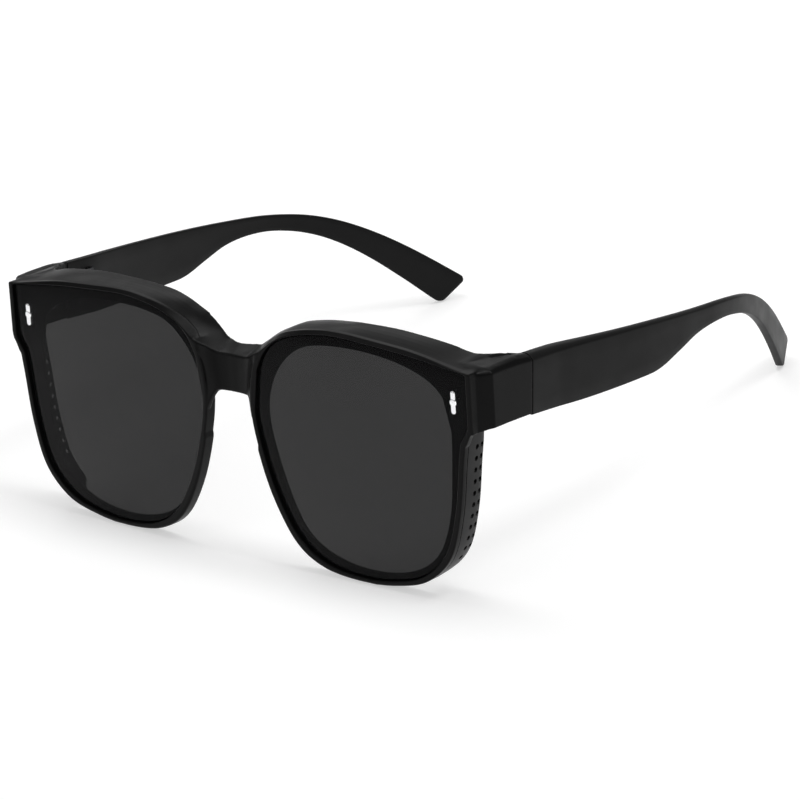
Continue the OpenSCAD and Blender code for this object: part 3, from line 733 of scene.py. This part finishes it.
def shield_section(s, total):
    """Outline across the wall at a place on the path: distance in from the rim's edge, and distance back."""
    foot = smooth((s - (total - SHIELD_CUT_LEN)) / SHIELD_CUT_LEN)
    reach = SHIELD_REACH - SHIELD_CUT * foot ** 2
    trim = drawn_in(SHIELD_EDGE, min(s, total - s))
    o, i = 0.02 + trim, SHIELD_T - trim
    skirt = 2.4 - 1.4 * smooth((s - 2.2) / 1.5)
    outer = [(o, skirt), (o, RIM_BACK), (o + 0.1, 4.2), (o + 0.22, 5.8), (o + 0.38, reach - 0.35),
             (o + 0.5, reach - 0.1), (o + 0.72, reach)]
    inner = [(i - 0.12, reach), (i, reach - 0.15), (i, 5.0), (i, RIM_BACK + 0.02),
             (0.48, RIM_BACK + 0.02), (0.48, skirt)]
    return [(min(d, i - 0.15), min(y, reach)) for d, y in outer] + [(d, min(y, reach)) for d, y in inner]


def vent_cutters(path, dist):
    """Round rods where the two columns of vents go."""
    parts = []
    ang = np.linspace(0, 2 * math.pi, 17)[:-1]
    for column, rows in VENT_COLUMNS:
        y = RIM_BACK + (SHIELD_REACH - RIM_BACK) * column + VENT_D / 2 * np.sin(ang)
        for k in range(rows):
            p, n = on_path(path, dist, VENT_START + VENT_STEP * k)
            t = np.array([n[1], -n[0]])
            flat = p + t * (VENT_D / 2 * np.cos(ang))[:, None]
            v, f = loft([np.c_[(flat + n * d)[:, 0], y, (flat + n * d)[:, 1]] for d in (1.5, -3)])
            parts.append((rest(half(v)), f))
    return parts


def shield_wall():
    """The wall of the left side, with its vents cut through and its edges broken."""
    path, dist = shield_path()
    total = dist[-1]
    rings = []
    for s in np.r_[0, 0.12, 0.35, np.arange(0.8, total - 0.6, 0.6), total - 0.5, total - 0.2, total]:
        p, n = on_path(path, dist, s)
        rings.append(np.array([[(p - n * d)[0], y, (p - n * d)[1]] for d, y in shield_section(s, total)]))
    v, f = loft(rings)
    wall = mesh_object("shield_wall_left", [(rest(half(v)), f)], shield_plastic)
    tool = mesh_object("vents", vent_cutters(path, dist), shield_plastic)
    cut = wall.modifiers.new("vents", "BOOLEAN")
    cut.object, cut.solver = tool, "EXACT"
    edge = wall.modifiers.new("edge", "BEVEL")
    edge.width, edge.segments, edge.limit_method = 0.07 * MM, 2, "ANGLE"
    edge.angle_limit = math.radians(50)
    bpy.context.view_layer.update()
    settle(wall, 35)
    bpy.data.objects.remove(tool)
    return wall


def mirror_copy(o, name):
    """The same object for the right side."""
    mesh = o.data.copy()
    mesh.transform(Matrix.Diagonal((-1, 1, 1, 1)))
    mesh.flip_normals()
    twin = bpy.data.objects.new(name, mesh)
    bpy.context.scene.collection.objects.link(twin)
    return twin


left_wall = shield_wall()
finish_piece(left_wall, "front", "side_shield_left")
finish_piece(mirror_copy(left_wall, "shield_wall_right"), "front", "side_shield_right")


# temples
def temple_line():
    """Middle line of the arm in plan, and its slope."""
    mid = TEMPLE_OUT - TEMPLE_T / 2
    bow = [[mid + s[1] * TIP_IN, TEMPLE_START + 10 + s[0] * (TEMPLE_LEN - 10)] for s in TEMPLE_BOW]
    line = np.concatenate([[[mid, TEMPLE_START]], curve(bow)])
    return line, np.gradient(line[:, 0], line[:, 1])


def temple_edge(shape, extra):
    """Top or foot of the arm seen from the side, and each point's share of its length."""
    c = curve([[TEMPLE_START + s[0] * TEMPLE_LEN, TEMPLE_TOP - s[1] * TIP_DROP] for s in shape])
    c[:, 1] += at(extra, c[:, 0])
    d = np.r_[0, np.cumsum(np.linalg.norm(np.diff(c, axis=0), axis=1))]
    return c, d / d[-1]


def temple_section(thick, high, fall):
    """Outline across the arm, as depth from its outer face and distance down from its top."""
    r = ARM_EDGE

    def corner(angles, x, y):
        bows = [(r * (1 - math.cos(q)), r * (1 - math.sin(q))) for q in np.radians(angles)]
        return [(thick - a if x else a, high - b if y else b) for a, b in bows]

    sec = [(0, fall + 0.25), (0.06, fall + 0.04)]
    for share in (0.1, 0.25, 0.45, 0.7, 1.0):
        sec.append((0.55 * thick * share, fall * (1 - share) ** 1.6))
    sec += corner([90, 45, 0], True, False)
    sec += [(thick, high * w) for w in (0.25, 0.5, 0.75)]
    sec += corner([0, 45, 90], True, True) + corner([90, 45, 0], False, True)
    return sec + [(0, high * w) for w in (0.75, 0.5, 0.3)]


def temple():
    """Flat arm lofted along its length, thinner past the hinge and round at the tip."""
    line, slope = temple_line()
    upper, upper_share = temple_edge(TOP_SHAPE, TOP_EXTRA)
    lower, lower_share = temple_edge(FOOT_SHAPE, FOOT_EXTRA)

    def wall(y, z, inward):
        """Point at a depth inwards from the outer face."""
        x, g = np.interp(y, line[:, 1], line[:, 0]), np.interp(y, line[:, 1], slope)
        outer = float(np.interp(y, [36, 94], [TEMPLE_T / 2, TIP_T / 2])) - 0.02
        n = unit([1.0, -g])
        return np.array([x + n[0] * (outer - inward), y + n[1] * (outer - inward), z])

    body = list(np.linspace(1.0, ARM_PATH - ARM_TIP, 110))
    tip = [ARM_PATH - ARM_TIP * q for q in (0.8, 0.6, 0.42, 0.27, 0.15, 0.07, 0.02, 0.0)]
    rings = []
    for s in [0, 0.04, 0.1, 0.2] + body + tip:
        t = s / (ARM_PATH + ARM_END_GAP)
        a = np.array([np.interp(t, upper_share, upper[:, 0]), np.interp(t, upper_share, upper[:, 1])])
        b = np.array([np.interp(t, lower_share, lower[:, 0]), np.interp(t, lower_share, lower[:, 1])])
        root = drawn_in(ARM_ROOT, s)
        end = drawn_in(TIP_ROUND, ARM_PATH - s) + root
        d = unit(b - a)
        a, b = a + d * end, b - d * end
        high, thick = np.linalg.norm(b - a), float(at(TEMPLE_THICK, a[0]))
        pinch = root + 0.3 * thick * max(0.0, 1 - (ARM_PATH - s) / 0.7) ** 2
        sec = temple_section(thick, high, along(TOP_FALL, a[0]))
        rings.append(np.array([wall(*(a + d * min(h, high)), min(max(i, pinch), thick - pinch))
                               for i, h in sec]))
    v, f = loft(rings)
    return rest(lean(v)), f


arm = temple()
for name, side in SIDES.items():
    o = mesh_object(f"temple_arm_{name}", [arm], temple_plastic, side)
    settle(o, 55)
    finish_piece(o, f"{name}_temple", f"temple_{name}")


# hinges, as the CAD has them
HARDWARE = {"hinge_front_leaf": hinge_metal, "hinge_temple_leaf": hinge_metal, "hinge_screw": screw_metal,
            "front_leaf_screws": screw_metal, "temple_leaf_screws": screw_metal,
            "hinge_washers": washer_plastic}


def dress(o, mat):
    """Gives a node of the CAD its material, and breaks its edges."""
    o.data.materials.clear()
    o.data.materials.append(mat)
    o.modifiers.new("weld", "WELD").merge_threshold = 0.002 * MM
    edge = o.modifiers.new("edge", "BEVEL")
    edge.width, edge.segments, edge.limit_method = 0.06 * MM, 2, "ANGLE"
    edge.angle_limit = math.radians(40)


for kind, mat in HARDWARE.items():
    for name in SIDES:
        dress(frame["nodes"][f"{kind}_{name}"], mat)


# Camera, as fitted to the photo: its angles in radians, its distance in millimetres, and in pixels of
# an 800-pixel picture its focal length and the place where the bridge's middle shows.
CAMERA_TURN, CAMERA_RISE, CAMERA_ROLL = 0.7229173, 0.3135876, -0.0594397
CAMERA_DIST, FOCAL, PICTURE = 1163.877, 4900.0, 800
BRIDGE_U, BRIDGE_V = 227.828, 377.483


def camera():
    """Puts the camera where the photo was taken from."""
    turn, rise, roll = CAMERA_TURN, CAMERA_RISE, CAMERA_ROLL
    back = np.array([math.sin(turn) * math.cos(rise), -math.cos(turn) * math.cos(rise), math.sin(rise)])
    right = np.array([math.cos(turn), math.sin(turn), 0])
    up = np.cross(back, right)
    c, s = math.cos(roll), math.sin(roll)
    r, u = c * right + s * up, c * up - s * right
    across, down = (BRIDGE_U - PICTURE / 2) / FOCAL, (BRIDGE_V - PICTURE / 2) / FOCAL
    place = -(across * r - down * u - back) * CAMERA_DIST
    tip = np.array([[1, 0, 0], [0, math.cos(TILT), math.sin(TILT)], [0, -math.sin(TILT), math.cos(TILT)]])
    axes = np.c_[tip @ r, tip @ u, tip @ back]
    m = Matrix.Identity(4)
    for i in range(3):
        for j in range(3):
            m[i][j] = axes[i, j]
    m.translation = Vector(rest([place])[0])
    data = bpy.data.cameras.new("camera")
    data.sensor_width, data.lens = 36, FOCAL / PICTURE * 36
    data.clip_start, data.clip_end = 0.01, 20
    cam = bpy.data.objects.new("camera", data)
    cam.matrix_world = m
    bpy.context.scene.collection.objects.link(cam)
    bpy.context.scene.camera = cam


camera()


# floor, world and lamps, in metres
FLOOR_HALF, FLOOR_LOWER = 6, 0.00002
FLOOR_GREY, FLOOR_GLOW, WORLD_GREY = 0.6, 0.5, 0.22
MIDDLE = (0, 0, 0.03)
# Lamp: name, place, aim, size and power.
LAMPS = [("top", (0, 0.15, 0.9), (0, 0.15, 0), (1.4, 0.3), 5.6),
         ("back", (-0.6, 0.7, 0.55), MIDDLE, (0.9, 0.4), 1.0),
         ("left", (-0.75, 0.1, 0.85), MIDDLE, (0.5, 0.5), 0.6),
         ("side", (0.9, 0.2, 0.5), MIDDLE, (0.6, 0.5), 0.4),
         ("front", (-0.5, -0.9, 0.6), MIDDLE, (0.7, 0.5), 1.2),
         ("upper right", (0.53, 0.08, 0.9), (0, 0, 0.05), (0.25, 0.25), 1.5),
         ("low", (0.35, -1.0, 0.14), MIDDLE, (0.3, 0.2), 0.8)]


def floor():
    """Pale floor that keeps the object's shadow, and shows a little brighter than it lights."""
    h = FLOOR_HALF
    mesh = bpy.data.meshes.new("floor")
    mesh.from_pydata([(-h, -h, 0), (h, -h, 0), (h, h, 0), (-h, h, 0)], [], [(0, 1, 2, 3)])
    o = bpy.data.objects.new("floor", mesh)
    o.location.z = -FLOOR_LOWER
    bpy.context.scene.collection.objects.link(o)
    m = bpy.data.materials.new("floor")
    m.use_nodes = True
    t = m.node_tree
    t.nodes.clear()
    out, add = t.nodes.new("ShaderNodeOutputMaterial"), t.nodes.new("ShaderNodeAddShader")
    diff, glow = t.nodes.new("ShaderNodeBsdfDiffuse"), t.nodes.new("ShaderNodeEmission")
    scale = t.nodes.new("ShaderNodeMath")
    scale.operation = "MULTIPLY"
    scale.inputs[1].default_value = FLOOR_GLOW
    diff.inputs["Color"].default_value = (FLOOR_GREY, FLOOR_GREY, FLOOR_GREY, 1)
    t.links.new(seen(t), scale.inputs[0])
    t.links.new(scale.outputs[0], glow.inputs["Strength"])
    t.links.new(diff.outputs[0], add.inputs[0])
    t.links.new(glow.outputs[0], add.inputs[1])
    t.links.new(add.outputs[0], out.inputs["Surface"])
    mesh.materials.append(m)


def seen(t):
    """1 for a ray that shows the background: straight to the camera, or in metal and glass."""
    path = t.nodes.new("ShaderNodeLightPath")
    value = path.outputs["Is Camera Ray"]
    for kind in ("Is Glossy Ray", "Is Transmission Ray"):
        m = t.nodes.new("ShaderNodeMath")
        m.operation = "MAXIMUM"
        t.links.new(value, m.inputs[0])
        t.links.new(path.outputs[kind], m.inputs[1])
        value = m.outputs[0]
    return value


def world():
    """Plain grey all round."""
    w = bpy.data.worlds.new("studio")
    bpy.context.scene.world = w
    w.use_nodes = True
    w.node_tree.nodes["Background"].inputs["Color"].default_value = (WORLD_GREY, WORLD_GREY, WORLD_GREY, 1)


def lamp(name, place, aim, size, power):
    """Rectangular lamp that points at a place."""
    data = bpy.data.lights.new(name, "AREA")
    data.shape, data.size, data.size_y, data.energy = "RECTANGLE", size[0], size[1], power
    o = bpy.data.objects.new(name, data)
    o.location = place
    o.rotation_euler = (Vector(aim) - Vector(place)).to_track_quat("-Z", "Y").to_euler()
    bpy.context.scene.collection.objects.link(o)


floor()
world()
for each in LAMPS:
    lamp(*each)
bpy.context.scene.view_settings.view_transform = "Standard"
